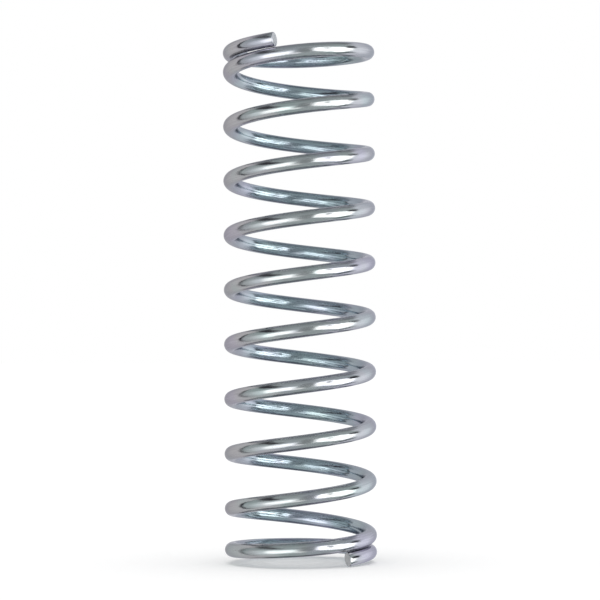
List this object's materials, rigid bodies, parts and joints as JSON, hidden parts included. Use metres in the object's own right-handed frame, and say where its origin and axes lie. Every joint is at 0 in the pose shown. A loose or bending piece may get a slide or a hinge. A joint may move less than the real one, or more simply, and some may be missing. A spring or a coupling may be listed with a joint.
{
  "type": "compression spring",
  "caption": "Open-coil round-wire compression spring with closed, unground ends and a right-hand coil, in bright zinc-plated steel.",
  "frame": {"origin": "on the coil axis, level with the lowest point of the wire as the spring stands on its closed end", "axes": "+Z along the coil axis, towards the other closed end; -Y is the side the spring is seen from in its rest view"},
  "size_m": [0.019, 0.019, 0.0656],
  "materials": {
    "zinc_plated_wire": "bright zinc plate with a clear blue passivate over drawn spring-steel wire"
  },
  "bodies": {
    "root": {"compression_spring": "zinc_plated_wire"}
  },
  "joints": []
}
